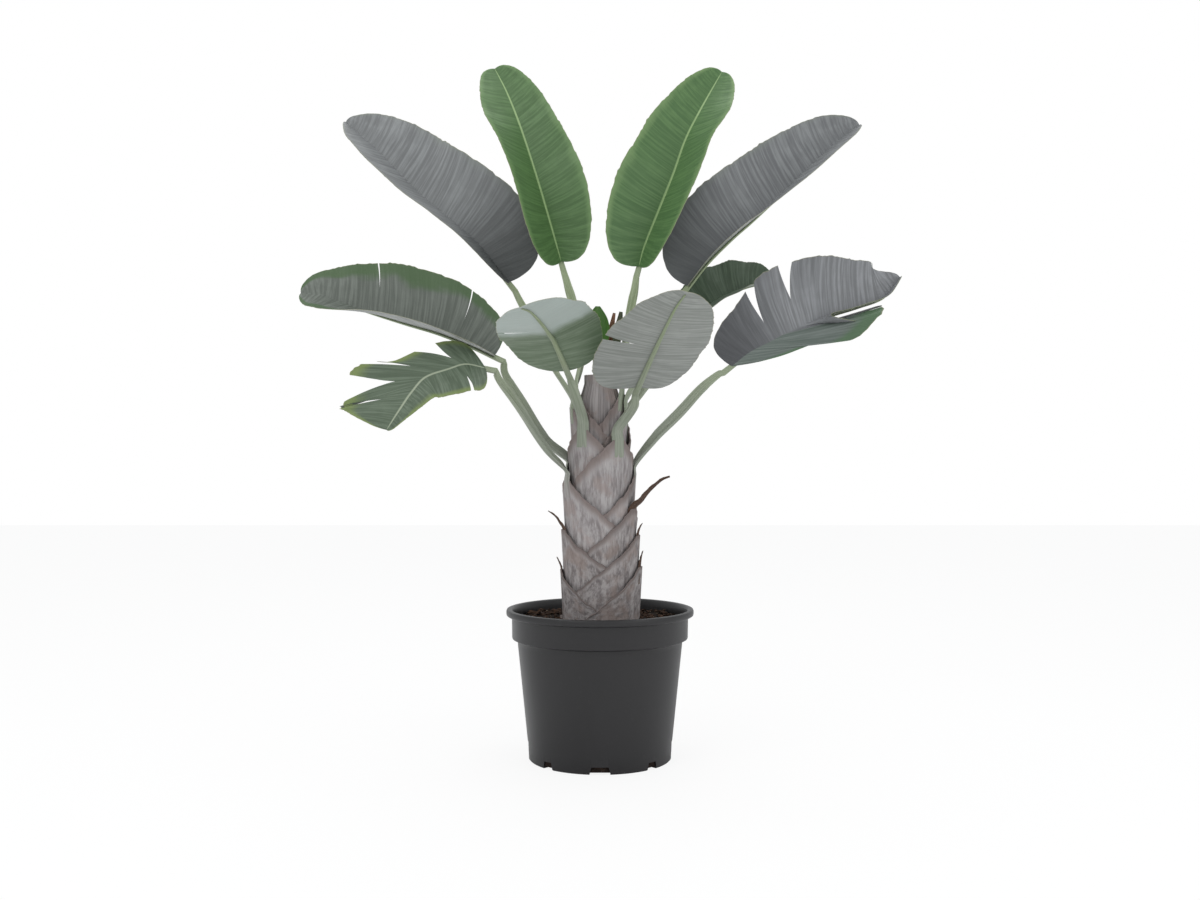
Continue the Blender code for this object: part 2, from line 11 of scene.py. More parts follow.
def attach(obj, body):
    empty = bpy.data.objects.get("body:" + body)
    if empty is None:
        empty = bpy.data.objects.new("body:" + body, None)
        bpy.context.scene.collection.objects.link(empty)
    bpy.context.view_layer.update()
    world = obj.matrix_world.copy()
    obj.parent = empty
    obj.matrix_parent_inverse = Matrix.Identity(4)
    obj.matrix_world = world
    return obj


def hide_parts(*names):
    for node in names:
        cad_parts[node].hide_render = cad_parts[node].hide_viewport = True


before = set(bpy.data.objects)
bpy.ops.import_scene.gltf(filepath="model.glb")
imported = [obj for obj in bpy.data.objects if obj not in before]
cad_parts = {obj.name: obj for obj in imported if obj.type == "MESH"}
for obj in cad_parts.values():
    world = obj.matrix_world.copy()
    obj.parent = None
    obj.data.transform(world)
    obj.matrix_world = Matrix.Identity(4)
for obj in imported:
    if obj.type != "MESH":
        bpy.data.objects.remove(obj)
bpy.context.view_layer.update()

# pot
FOOT_RADIUS = 0.1285
RIM_RADIUS = 0.169
RIM_TOP = 0.269
WALL = 0.0025
FLOOR = 0.003
NOTCH_HEIGHT = 0.013
SOIL_TOP = 0.250

# trunk of nested leaf bases
SIDES = 32
BASE_Z = SOIL_TOP + 0.0004
BASE_RADIUS = 0.0705
BASE_STEP = 0.0034
BASE_SKIN = 0.0030
BASE_SLOPE = 0.055
CORE_TOP = 0.690
CORE_NECK = 0.640
CORE_TIP_RADIUS = 0.028
WRAP_SKIN = 0.0022

# blades
BLADE_THICK = 0.0007
BLADE_COLUMNS = 110
BLADE_ROWS = 18
MARGIN_WAVE = 0.0025
MARGIN_RIPPLES = 4.0
MARGIN_FRINGE = 0.018
RIB_STEPS = 240

# finish
SMOOTH_ANGLE = math.radians(50)


def linear(red, green, blue):
    """Screen colour, 0 to 255, as light."""
    def one(c):
        c = c / 255
        return c / 12.92 if c <= 0.04045 else ((c + 0.055) / 1.055) ** 2.4
    return one(red), one(green), one(blue), 1


# Each leaf: colours of its two sides, order (0 is the outermost wrap), turn of its base
# round the trunk in 32nds, height where the wrap ends, fall of its margin per 32nd, stalk
# points, rib points, the way its upper side faces from foot to tip, half widths from foot
# to tip, folds of the halves in degrees, lean of the veins in degrees. A tear is its place
# along the rib, the share of the half that it leaves whole, and its width. turned_right
# counts the strips of the right half, from the foot, that show their other side.
LEAVES = {
    "inner_left": dict(
        looks=dict(upper=dict(main=linear(84, 116, 70), vein=linear(68, 98, 56),
                              rib=linear(142, 168, 118), edge=linear(104, 134, 86)),
                   lower=dict(main=linear(146, 158, 142), vein=linear(124, 138, 120))),
        order=13, turn=18, top=0.650, fall=0.011,
        stalk=[(-0.034, 0.012, 0.720), (-0.042, 0.025, 0.791), (-0.058, 0.040, 0.855)],
        rib=[(-0.072, 0.050, 0.904), (-0.095, 0.060, 0.984), (-0.122, 0.080, 1.076),
             (-0.151, 0.100, 1.167), (-0.177, 0.120, 1.235), (-0.202, 0.140, 1.287)],
        face=[(0, -1, 0.2), (0, -1, 0.2)],
        left=(0.055, 0.085, 0.085, 0.078, 0.070, 0.052, 0.030),
        right=(0.050, 0.082, 0.092, 0.080, 0.065, 0.048, 0.026),
        fold_left=(50, 58, 50, 27, 20), fold_right=(25, 25, 20, 15, 10),
        lean=(-35, 5, 12, 12)),
    "inner_right": dict(
        looks=dict(upper=dict(main=linear(88, 120, 74), vein=linear(70, 102, 60),
                              rib=linear(142, 168, 118), edge=linear(112, 140, 92)),
                   lower=dict(main=linear(146, 158, 142), vein=linear(124, 138, 120))),
        order=14, turn=30, top=0.655, fall=0.011,
        stalk=[(0.045, 0.006, 0.730), (0.053, 0.026, 0.793), (0.063, 0.040, 0.850)],
        rib=[(0.072, 0.050, 0.895), (0.083, 0.055, 0.933), (0.108, 0.065, 0.996),
             (0.137, 0.080, 1.070), (0.162, 0.100, 1.142), (0.192, 0.120, 1.204),
             (0.234, 0.140, 1.281)],
        face=[(0, -1, 0.2), (0, -1, 0.2)],
        left=(0.055, 0.088, 0.100, 0.088, 0.072, 0.052, 0.028),
        right=(0.050, 0.085, 0.095, 0.086, 0.078, 0.054, 0.028),
        fold_left=(20, 18, 15, 12, 10), fold_right=(58, 60, 54, 38, 15),
        lean=(-30, 5, 12, 12)),
    "outer_left": dict(
        looks=dict(upper=dict(main=linear(138, 141, 142), vein=linear(112, 114, 115),
                              base=linear(66, 69, 69), edge=linear(128, 134, 128), edge_from=0.86),
                   lower=dict(main=linear(140, 142, 140), vein=linear(112, 114, 112))),
        order=11, turn=17, top=0.632, fall=0.012,
        stalk=[(-0.093, 0.025, 0.720), (-0.118, 0.040, 0.776),
               (-0.145, 0.053, 0.827)],
        rib=[(-0.169, 0.060, 0.867), (-0.225, 0.060, 0.937), (-0.273, 0.060, 0.980),
             (-0.330, 0.060, 1.027), (-0.382, 0.060, 1.079), (-0.420, 0.060, 1.118),
             (-0.472, 0.060, 1.164)],
        face=[(0, -1, 0.1), (0, -1, 0.1)],
        left=(0.062, 0.105, 0.116, 0.112, 0.095, 0.068, 0.026),
        right=(0.065, 0.107, 0.118, 0.110, 0.090, 0.060, 0.026),
        fold_left=(80, 76, 73, 67, 62), fold_right=(5, 4, 2, 0, 0),
        lean=(-25, 5, 12, 12)),
    "outer_right": dict(
        looks=dict(upper=dict(main=linear(132, 135, 136), vein=linear(104, 106, 108),
                              base=linear(84, 87, 88), edge=linear(120, 126, 120), edge_from=0.86),
                   lower=dict(main=linear(146, 149, 147), vein=linear(120, 123, 121))),
        order=12, turn=31, top=0.630, fall=0.012,
        stalk=[(0.080, 0.018, 0.701), (0.110, 0.025, 0.784), (0.137, 0.030, 0.824)],
        rib=[(0.161, 0.030, 0.856), (0.196, 0.030, 0.900), (0.242, 0.030, 0.945),
             (0.277, 0.030, 0.975), (0.326, 0.030, 1.020), (0.372, 0.030, 1.063),
             (0.427, 0.030, 1.114), (0.475, 0.030, 1.151)],
        face=[(0, -1, 0.1), (0, -1, 0.1)],
        left=(0.055, 0.098, 0.109, 0.100, 0.083, 0.058, 0.027),
        right=(0.055, 0.098, 0.109, 0.102, 0.085, 0.060, 0.026),
        fold_left=(5, 4, 2, 0, 0), fold_right=(86, 84, 78, 73, 66),
        lean=(-25, 5, 12, 12)),
    "low_left": dict(
        looks=dict(upper=dict(main=linear(116, 122, 115), vein=linear(92, 98, 91),
                              edge=linear(74, 98, 64), edge_from=0.62),
                   lower=dict(main=linear(148, 152, 149), vein=linear(124, 128, 125))),
        order=7, turn=15, top=0.520, fall=0.011,
        stalk=[(-0.099, 0.000, 0.575), (-0.139, -0.015, 0.641), (-0.168, -0.025, 0.689)],
        rib=[(-0.189, -0.030, 0.723), (-0.230, -0.030, 0.742), (-0.286, -0.030, 0.764),
             (-0.348, -0.030, 0.782), (-0.416, -0.030, 0.803), (-0.462, -0.030, 0.819),
             (-0.498, -0.030, 0.831), (-0.534, -0.030, 0.835)],
        face=[(0, -1, 0.1), (0, -1, 0.1)],
        left=(0.053, 0.085, 0.100, 0.100, 0.084, 0.056, 0.026),
        right=(0.053, 0.083, 0.100, 0.100, 0.080, 0.052, 0.024),
        fold_left=(86, 86, 84, 66, 35), fold_right=(6, 5, 3, 0, 0),
        lean=(-20, 5, 12, 12),
        tears_right=[(0.30, 0.40, 0.004), (0.57, 0.50, 0.005)]),
    "low_right": dict(
        looks=dict(upper=dict(main=linear(136, 138, 141), vein=linear(108, 110, 112),
                              base=linear(62, 63, 66)),
                   lower=dict(main=linear(112, 120, 116), vein=linear(84, 94, 88),
                              edge=linear(78, 104, 76), edge_from=0.66)),
        order=6, turn=0, top=0.510, fall=0.011,
        stalk=[(0.096, 0.000, 0.573), (0.145, 0.000, 0.624), (0.181, 0.000, 0.664),
               (0.213, 0.000, 0.691)],
        rib=[(0.239, 0.000, 0.707), (0.271, 0.000, 0.732), (0.306, 0.000, 0.750),
             (0.340, 0.000, 0.768), (0.383, 0.010, 0.788), (0.418, 0.010, 0.800),
             (0.471, 0.020, 0.816), (0.520, 0.030, 0.835), (0.552, 0.040, 0.873)],
        face=[(0, -1, 0.1), (0, -1, 0.1)],
        left=(0.053, 0.082, 0.116, 0.112, 0.090, 0.064, 0.026),
        right=(0.104, 0.150, 0.168, 0.040, 0.032, 0.026, 0.018),
        fold_left=(6, 5, 3, 0, 0), fold_right=(-6, -3, 4, 16, 80, 84, 84, 84, 84),
        lean=(-30, 5, 12, 12), lean_right=(56, 64, 72, 76, 20, 12, 12, 12, 12),
        tears_left=[(0.33, 0.35, 0.03), (0.43, 0.45, 0.04), (0.72, 0.85, 0.01)],
        tears_right=[(0.37, 0.06, 0.004)],
        turned_right=1),
    "front_left": dict(
        # lower side: one underside in two painted tones, the green-grey over the foot is painted
        # shade and the pale silver tip is painted light
        looks=dict(upper=dict(main=linear(84, 116, 66), vein=linear(62, 92, 50)),
                   lower=dict(main=linear(122, 136, 116), vein=linear(98, 114, 92),
                              tip=linear(172, 182, 178), lit_tip_from=0.44)),
        order=9, turn=21, top=0.590, fall=0.011,
        stalk=[(-0.044, -0.080, 0.655)],
        rib=[(-0.057, -0.100, 0.692), (-0.076, -0.160, 0.735), (-0.083, -0.200, 0.745),
             (-0.093, -0.260, 0.757), (-0.108, -0.320, 0.770), (-0.122, -0.360, 0.772)],
        face=[(0, 0.5, 0.8), (-0.2, 0.4, 0.8), (-0.2, 0.3, 1)],
        left=(0.045, 0.075, 0.085, 0.080, 0.068, 0.045, 0.024),
        right=(0.045, 0.075, 0.085, 0.080, 0.068, 0.045, 0.024),
        fold_left=(10, 10, 5), fold_right=(10, 10, 5),
        lean=(-15, 0, 5, 5),
        tears_right=[(0.50, 0.25, 0.02)]),
    "front_right": dict(
        looks=dict(upper=dict(main=linear(96, 122, 82), vein=linear(76, 100, 66)),
                   lower=dict(main=linear(154, 157, 153), vein=linear(132, 136, 131),
                              rough=0.55)),
        order=8, turn=27, top=0.572, fall=0.011,
        stalk=[(0.058, -0.075, 0.630)],
        rib=[(0.066, -0.100, 0.664), (0.079, -0.150, 0.694), (0.092, -0.210, 0.723),
             (0.104, -0.270, 0.749), (0.117, -0.330, 0.775), (0.131, -0.380, 0.793)],
        face=[(0, 0.5, 0.8), (0.1, 0.4, 0.8)],
        left=(0.045, 0.068, 0.078, 0.080, 0.070, 0.052, 0.026),
        right=(0.065, 0.094, 0.094, 0.080, 0.060, 0.038, 0.018),
        fold_left=(5, 5, 5), fold_right=(5, 5, 5),
        lean=(-20, 0, 5, 5), lean_right=(-40, -12, 5, 10),
        tears_right=[(0.44, 0.35, 0.02)]),
    "low_front_left": dict(
        looks=dict(upper=dict(main=linear(100, 114, 96), vein=linear(76, 90, 72),
                              rib=linear(150, 160, 138), edge=linear(116, 132, 78),
                              edge_from=0.74),
                   lower=dict(main=linear(110, 118, 108), vein=linear(84, 92, 82))),
        order=5, turn=18, top=0.500, fall=0.011,
        stalk=[(-0.098, -0.052, 0.560), (-0.141, -0.072, 0.629), (-0.175, -0.080, 0.678)],
        rib=[(-0.200, -0.085, 0.698), (-0.233, -0.092, 0.704), (-0.262, -0.100, 0.695),
             (-0.300, -0.110, 0.680), (-0.322, -0.120, 0.654), (-0.340, -0.130, 0.625),
             (-0.362, -0.140, 0.589)],
        face=[(0, -1, 0.8), (0, -1, 0.4), (0, -1, 0)],
        left=(0.055, 0.062, 0.055, 0.042, 0.028, 0.016, 0.008),
        right=(0.040, 0.062, 0.112, 0.124, 0.110, 0.080, 0.040),
        fold_left=(10, 0, 0, 0), fold_right=(15, 5, 0, 0),
        lean=(-20, -5, 5, 15), lean_right=(30, 58, 56, 32, 15),
        tears_left=[(0.30, 0.45, 0.04)],
        tears_right=[(0.27, 0.35, 0.04), (0.40, 0.45, 0.05), (0.50, 0.40, 0.05),
                     (0.62, 0.40, 0.04)]),
    "back_right": dict(
        looks=dict(upper=dict(main=linear(84, 100, 82), vein=linear(62, 78, 60)),
                   lower=dict(main=linear(132, 144, 128), vein=linear(108, 122, 104))),
        order=10, turn=3, top=0.600, fall=0.012,
        stalk=[(0.094, 0.080, 0.686), (0.132, 0.105, 0.763)],
        rib=[(0.171, 0.120, 0.806), (0.211, 0.130, 0.835), (0.246, 0.140, 0.855),
             (0.285, 0.150, 0.870), (0.331, 0.160, 0.880)],
        face=[(-0.3, -0.6, 0.7), (-0.3, -0.6, 0.7)],
        left=(0.040, 0.060, 0.070, 0.070, 0.060, 0.045, 0.025),
        right=(0.040, 0.060, 0.070, 0.070, 0.060, 0.045, 0.025),
        fold_left=(30, 30, 30), fold_right=(30, 30, 30),
        lean=(-15, 8, 18, 25)),
}

# Old leaf bases: order, turn, height of the tip's foot, fall per 32nd, dried tip points,
# and half the tip's width where it isn't the usual one
OLD_BASES = {
    "old_base_a": dict(order=0, turn=31, top=0.345, fall=0.0115,
                       tip=[(0.074, -0.012, 0.362), (0.077, -0.013, 0.374)]),
    "old_base_b": dict(order=1, turn=16, top=0.340, fall=0.0105,
                       tip=[(-0.0735, 0, 0.352), (-0.078, 0, 0.362)]),
    "old_base_c": dict(order=2, turn=31, top=0.402, fall=0.0105,
                       tip=[(0.071, -0.014, 0.414), (0.076, -0.015, 0.424)]),
    "old_base_d": dict(order=3, turn=17, top=0.412, fall=0.0095,
                       tip=[(-0.072, -0.013, 0.424), (-0.080, -0.014, 0.436),
                            (-0.093, -0.015, 0.446)]),
    "old_base_e": dict(order=4, turn=30, top=0.450, fall=0.0110,
                       tip=[(0.074, -0.029, 0.464), (0.088, -0.034, 0.482),
                            (0.110, -0.040, 0.502), (0.124, -0.042, 0.508)], wide=0.020),
}

# Centre growth: path, then half widths, bend radii and thicknesses from foot to tip
SHOOTS = {
    "young_leaf": dict(
        path=[(-0.006, 0.004, CORE_TOP + 0.0004), (-0.005, 0.004, 0.715),
              (-0.004, 0.002, 0.745), (-0.005, 0.000, 0.780), (-0.004, 0.000, 0.815)],
        half=(0.006, 0.008, 0.020, 0.030, 0.024, 0.004),
        bend=(0.010, 0.009, 0.014, 0.022, 0.020, 0.008),
        thick=(0.005, 0.004, 0.0022, 0.0020, 0.0018, 0.0016)),
    "spear": dict(
        path=[(0.010, 0.016, CORE_TOP + 0.0004), (0.012, 0.021, 0.715),
              (0.016, 0.021, 0.750), (0.026, 0.020, 0.805)],
        half=(0.008, 0.008, 0.007, 0.005, 0.002),
        bend=(0.0055, 0.0055, 0.005, 0.004, 0.002),
        thick=(0.004, 0.004, 0.0035, 0.003, 0.002)),
    "dark_tip": dict(
        path=[(0.017, 0.003, CORE_TOP + 0.0004), (0.024, 0.002, 0.720),
              (0.033, 0.000, 0.770), (0.038, 0.000, 0.805)],
        half=(0.006, 0.006, 0.009, 0.003),
        bend=(0.005, 0.005, 0.010, 0.005),
        thick=(0.0035, 0.003, 0.0022, 0.0016)),
}


def unit(v):
    """Vectors of length 1 with the same directions."""
    return v / np.linalg.norm(v, axis=-1, keepdims=True)


def curve(points, count):
    """Points evenly along a smooth line through the given ones."""
    points = np.array(points, float)
    ends = np.vstack([2 * points[0] - points[1], points, 2 * points[-1] - points[-2]])
    t = np.linspace(0, 1, 24, endpoint=False)[:, None]
    fine = [0.5 * (2 * b + (c - a) * t + (2 * a - 5 * b + 4 * c - d) * t**2
                   + (3 * b - a - 3 * c + d) * t**3)
            for a, b, c, d in zip(ends, ends[1:], ends[2:], ends[3:])]
    fine = np.vstack(fine + [points[-1:]])
    run = np.concatenate([[0], np.cumsum(np.linalg.norm(np.diff(fine, axis=0), axis=1))])
    even = np.linspace(0, run[-1], count)
    return np.stack([np.interp(even, run, fine[:, k]) for k in range(points.shape[1])], 1)


def spread(values, s):
    """Values given evenly from 0 to 1, read smoothly at s."""
    values = np.atleast_1d(np.array(values, float))
    if len(values) < 3:
        return np.interp(s, np.linspace(0, 1, len(values)), values)
    line = curve(np.stack([np.linspace(0, 1, len(values)), values], 1), 300)
    return np.interp(s, line[:, 0], line[:, 1])


def rib_lines(leaf):
    """The rib and its directions, with the way to read them at any place."""
    rib = curve(leaf["rib"], RIB_STEPS)
    along = unit(np.gradient(rib, axis=0))
    fine = np.linspace(0, 1, RIB_STEPS)
    k = np.linspace(0, 1, len(leaf["face"]))
    face = np.stack([np.interp(fine, k, np.array(leaf["face"], float)[:, i])
                     for i in range(3)], 1)
    across = unit(np.cross(along, face))
    face = np.cross(across, along)

    def at(table, s):
        return np.stack([np.interp(s, fine, table[:, i]) for i in range(3)], -1)

    return at, rib, along, face, across


def stations(leaf, columns):
    """Places along the rib where both halves have a vein, every tear among them."""
    tears = sorted({t[0] for name in ("tears_left", "tears_right") for t in leaf.get(name, [])})
    marks = [0] + tears + [1]
    places = [0.0]
    for a, b in zip(marks, marks[1:]):
        count = max(1, round(columns * (b - a)))
        places += [a + (b - a) * i / count for i in range(1, count + 1)]
    return np.array(places)


def rib_length(leaf):
    """Length of the rib under the blade, in metres."""
    return np.linalg.norm(np.diff(curve(leaf["rib"], RIB_STEPS), axis=0), axis=1).sum()


def half_strips(leaf, side):
    """Grids of points and of (metres along, share out) for each strip of a half blade."""
    name = "left" if side < 0 else "right"
    at, rib, along, face, across = rib_lines(leaf)
    length = rib_length(leaf)
    widths = (0,) + tuple(leaf[name]) + (0,)
    tears = leaf.get("tears_" + name, [])
    joins = [0] + [t[0] for t in tears] + [1]
    roots = [1] + [t[1] for t in tears] + [1]
    gaps = [0] + [t[2] for t in tears] + [0]
    u = np.linspace(0, 1, BLADE_ROWS + 1)[:, None]
    places = stations(leaf, BLADE_COLUMNS)
    grids = []
    for k in range(len(tears) + 1):
        # the strip's own part of the rib, narrowed beyond the roots of its two tears
        a = places[(places > joins[k] - 1e-6) & (places < joins[k + 1] + 1e-6)][None, :]
        a = (a - joins[k]) / (joins[k + 1] - joins[k])
        open_a = np.clip((u - roots[k]) / max(1 - roots[k], 1e-9), 0, 1)
        open_b = np.clip((u - roots[k + 1]) / max(1 - roots[k + 1], 1e-9), 0, 1)
        first = joins[k] + gaps[k] / 2 * open_a
        last = joins[k + 1] - gaps[k + 1] / 2 * open_b
        t = first + (last - first) * a
        s = (1 - np.cos(np.pi * t)) / 2
        uu = u + 0 * a
        fold = np.radians(spread(leaf["fold_" + name], s))
        lean = np.radians(spread(leaf.get("lean_" + name, leaf["lean"]), s))
        # uneven margin and soft ripples, strongest at the margin
        fringe = np.sin(61 * s + 5 * side) * np.sin(23 * s + 1.3) * np.sin(151 * s)
        w = np.maximum(spread(widths, t), 0) * (1 + MARGIN_FRINGE * fringe * uu**4)
        ripple = np.sin(math.tau * (MARGIN_RIPPLES * s + 0.1 + 0.21 * side)) * uu**2
        ripple = MARGIN_WAVE * ripple * np.minimum(1, w / 0.05)
        ripple = ripple * np.sin(np.pi * np.clip(s, 0.02, 0.98))
        out = w * np.cos(lean) * uu
        p = at(rib, s) + (out * np.cos(fold))[..., None] * side * at(across, s)
        p = p + (out * np.sin(fold) + ripple)[..., None] * at(face, s)
        p = p + (w * (np.sin(lean) * uu + 0.1 * uu**3))[..., None] * at(along, s)
        grids.append((p, np.stack([s * length, uu], -1)))
    return grids


# modelling steps


def select(*items):
    """Selects these objects alone, the first one active."""
    bpy.ops.object.select_all(action="DESELECT")
    for item in items:
        item.select_set(True)
    bpy.context.view_layer.objects.active = items[0]


def sheet(name, points, uv):
    """A grid laid over rows of points, with its own measure as UV."""
    rows, columns = points.shape[:2]
    bpy.ops.mesh.primitive_grid_add(x_subdivisions=columns - 1, y_subdivisions=rows - 1,
                                    size=1, calc_uvs=True)
    item = bpy.context.object
    item.name = item.data.name = name
    mesh = item.data
    mesh.vertices.foreach_set("co", points.reshape(-1).astype(np.float32))
    corner = np.empty(len(mesh.loops), np.int32)
    mesh.loops.foreach_get("vertex_index", corner)
    mesh.uv_layers[0].data.foreach_set("uv", uv.reshape(-1, 2)[corner].reshape(-1)
                                       .astype(np.float32))
    mesh.update()
    return item


def weld(item, distance=0.00002, closed=False):
    """Merges the seams and, on a closed skin, turns the faces outwards."""
    select(item)
    bpy.ops.object.mode_set(mode="EDIT")
    bpy.ops.mesh.select_all(action="SELECT")
    bpy.ops.mesh.remove_doubles(threshold=distance)
    if closed:
        bpy.ops.mesh.select_all(action="SELECT")
        bpy.ops.mesh.normals_make_consistent(inside=False)
    bpy.ops.object.mode_set(mode="OBJECT")


def join(items, name):
    """One object made of several."""
    select(*items)
    if len(items) > 1:
        bpy.ops.object.join()
    item = bpy.context.object
    item.name = item.data.name = name
    return item


def apply(item):
    """Applies all modifiers, in their order."""
    select(item)
    for modifier in list(item.modifiers):
        bpy.ops.object.modifier_apply(modifier=modifier.name)


def finish_piece(item, node, material=None):
    """Dresses and smooths a piece, and lays it over its node."""
    if material:
        item.data.materials.clear()
        item.data.materials.append(material)
    select(item)
    bpy.ops.object.shade_smooth_by_angle(angle=SMOOTH_ANGLE)
    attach(item, "root")
    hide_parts(node)


def tube(name, sections, uv_length):
    """A closed skin over rings of points, pinched shut at both ends."""
    rings = np.array(sections)
    middle = rings.mean(axis=1, keepdims=True)
    ends = [np.repeat(middle[:1], rings.shape[1], 1), np.repeat(middle[-1:], rings.shape[1], 1)]
    rings = np.concatenate([ends[0], rings, ends[1]])
    rings = np.concatenate([rings, rings[:, :1]], axis=1)
    v = np.linspace(0, uv_length, len(rings))[:, None]
    u = np.linspace(0, 1, rings.shape[1])[None, :]
    item = sheet(name, rings, np.stack([u + 0 * v, v + 0 * u], -1))
    weld(item, closed=True)
    return item


def channel(centre, out, side, half, bend, thick, count=9):
    """Points round a bent strip whose inner side's middle is the centre."""
    a = np.linspace(-1, 1, count)
    b = a * half / bend
    edge = np.sqrt(np.clip(1 - a**8, 0, 1)) * 0.6 + 0.4
    deep = bend + thick * (1 - 0.3 * a**2) * edge
    inner = [centre + bend * (math.cos(t) - 1) * out + bend * math.sin(t) * side for t in b]
    outer = [centre + (d * math.cos(t) - bend) * out + d * math.sin(t) * side
             for t, d in zip(b, deep)]
    return np.array(outer + inner[::-1])


# colours and patterns


def shade(colour, share):
    """A colour made lighter or darker."""
    return tuple(c * share for c in colour[:3]) + (1,)


def new_group(name, inputs, outputs):
    """An empty node group with named sockets, and its two end nodes."""
    group = bpy.data.node_groups.new(name, "ShaderNodeTree")
    for label, kind, value in inputs:
        socket = group.interface.new_socket(label, in_out="INPUT", socket_type=kind)
        socket.default_value = value
    for label, kind in outputs:
        group.interface.new_socket(label, in_out="OUTPUT", socket_type=kind)
    ends = [group.nodes.new(kind) for kind in ("NodeGroupInput", "NodeGroupOutput")]
    return group, *ends


class Nodes:
    """Short ways to lay out the nodes of one material."""

    def __init__(self, tree):
        self.tree = tree

    def link(self, value, socket):
        if isinstance(value, bpy.types.NodeSocket):
            self.tree.links.new(value, socket)
        else:
            socket.default_value = value

    def maths(self, kind, a, b):
        node = self.tree.nodes.new("ShaderNodeMath")
        node.operation = kind
        self.link(a, node.inputs[0])
        self.link(b, node.inputs[1])
        return node.outputs[0]

    def ramp(self, value, low, high, from_=0.0, to=1.0):
        node = self.tree.nodes.new("ShaderNodeMapRange")
        node.interpolation_type = "SMOOTHSTEP"
        self.link(value, node.inputs["Value"])
        for label, number in (("From Min", low), ("From Max", high), ("To Min", from_),
                              ("To Max", to)):
            node.inputs[label].default_value = number
        return node.outputs["Result"]

    def mix(self, share, a, b):
        node = self.tree.nodes.new("ShaderNodeMix")
        node.data_type = "RGBA"
        self.link(share, node.inputs[0])
        self.link(a, node.inputs[6])
        self.link(b, node.inputs[7])
        return node.outputs[2]

    def scaled(self, vector, x, y, z=1.0):
        node = self.tree.nodes.new("ShaderNodeMapping")
        self.link(vector, node.inputs["Vector"])
        node.inputs["Scale"].default_value = (x, y, z)
        return node.outputs["Vector"]

    def noise(self, vector, scale, detail=3.0, rough=0.55):
        node = self.tree.nodes.new("ShaderNodeTexNoise")
        self.link(vector, node.inputs["Vector"])
        node.inputs["Scale"].default_value = scale
        node.inputs["Detail"].default_value = detail
        node.inputs["Roughness"].default_value = rough
        return node.outputs["Fac"]

    def around(self, value, width):
        """A pattern from 0 to 1 made to swing both ways round nothing."""
        return self.maths("MULTIPLY", self.maths("SUBTRACT", value, 0.5), width)

    def bump(self, height, strength, distance):
        node = self.tree.nodes.new("ShaderNodeBump")
        self.link(height, node.inputs["Height"])
        node.inputs["Strength"].default_value = strength
        node.inputs["Distance"].default_value = distance
        return node.outputs["Normal"]

    def coordinates(self, label):
        return self.tree.nodes.new("ShaderNodeTexCoord").outputs[label]

    def parts(self, vector):
        node = self.tree.nodes.new("ShaderNodeSeparateXYZ")
        self.link(vector, node.inputs[0])
        return node.outputs


def new_material(name):
    """A material, its nodes and its Principled shader."""
    material = bpy.data.materials.new(name)
    material.use_nodes = True
    shader = material.node_tree.nodes["Principled BSDF"]
    return material, Nodes(material.node_tree), shader


def vein_group():
    """Vein lines, cloudy patches and distance marks of a blade."""
    group, given, result = new_group(
        "blade_pattern", [("UV", "NodeSocketVector", (0, 0, 0))],
        [("Veins", "NodeSocketFloat"), ("Fine", "NodeSocketFloat"),
         ("Clouds", "NodeSocketFloat"), ("Along", "NodeSocketFloat"),
         ("Out", "NodeSocketFloat")])
    n = Nodes(group)
    uv = given.outputs["UV"]
    x, y, _ = n.parts(uv)
    n.link(n.noise(n.scaled(uv, 210, 0.8), 1, 3, 0.6), result.inputs["Veins"])
    n.link(n.noise(n.scaled(uv, 520, 1.4), 1, 2, 0.5), result.inputs["Fine"])
    n.link(n.noise(n.scaled(uv, 14, 2.2), 1, 3, 0.5), result.inputs["Clouds"])
    n.link(x, result.inputs["Along"])
    n.link(y, result.inputs["Out"])
    return group


def blade_material(name, group, main, vein, edge=None, base=None, tip=None, rib=None,
                   edge_from=0.80, lit_tip_from=0.80, rough=0.42, length=0.4):
    """A leaf side: long fine veins, a paler rib line, a margin tint, a darker foot, and a paler
    tip that is painted light.
    """
    material, n, shader = new_material(name)
    pattern = n.tree.nodes.new("ShaderNodeGroup")
    pattern.node_tree = group
    n.link(n.coordinates("UV"), pattern.inputs["UV"])
    veins, fine, clouds, along, out = (pattern.outputs[k] for k in
                                       ("Veins", "Fine", "Clouds", "Along", "Out"))
    colour = n.mix(n.ramp(veins, 0.36, 0.66), vein, main)
    colour = n.mix(n.ramp(fine, 0.60, 0.75, 0, 0.35), colour, shade(main, 1.18))
    colour = n.mix(n.ramp(clouds, 0.42, 0.62, 0, 0.30), colour, shade(vein, 0.95))
    if edge:
        border = n.maths("ADD", out, n.around(clouds, 0.5))
        colour = n.mix(n.ramp(border, edge_from, edge_from + 0.22, 0, 0.9), colour, edge)
    if base:
        colour = n.mix(n.ramp(along, 0.02, length * 0.42, 0.85, 0), colour, base)
    # painted light: the tip colour is the same side lit, mixed over the tip of the blade
    if tip:
        reach = n.maths("ADD", along, n.maths("MULTIPLY", clouds, 0.03))
        start = length * lit_tip_from
        colour = n.mix(n.ramp(reach, start, start + length * 0.12, 0, 0.9), colour, tip)
    if rib:
        colour = n.mix(n.ramp(out, 0.018, 0.040, 1, 0), colour, rib)
    rim = n.ramp(out, 0.985, 0.999, 0, 0.55)
    colour = n.mix(rim, colour, linear(150, 148, 112))
    n.link(colour, shader.inputs["Base Color"])
    n.link(n.ramp(veins, 0.3, 0.7, rough + 0.08, rough - 0.05), shader.inputs["Roughness"])
    height = n.maths("ADD", veins, n.maths("MULTIPLY", fine, 0.35))
    n.link(n.bump(height, 0.5, 0.0012), shader.inputs["Normal"])
    shader.inputs["Specular IOR Level"].default_value = 0.35
    return material


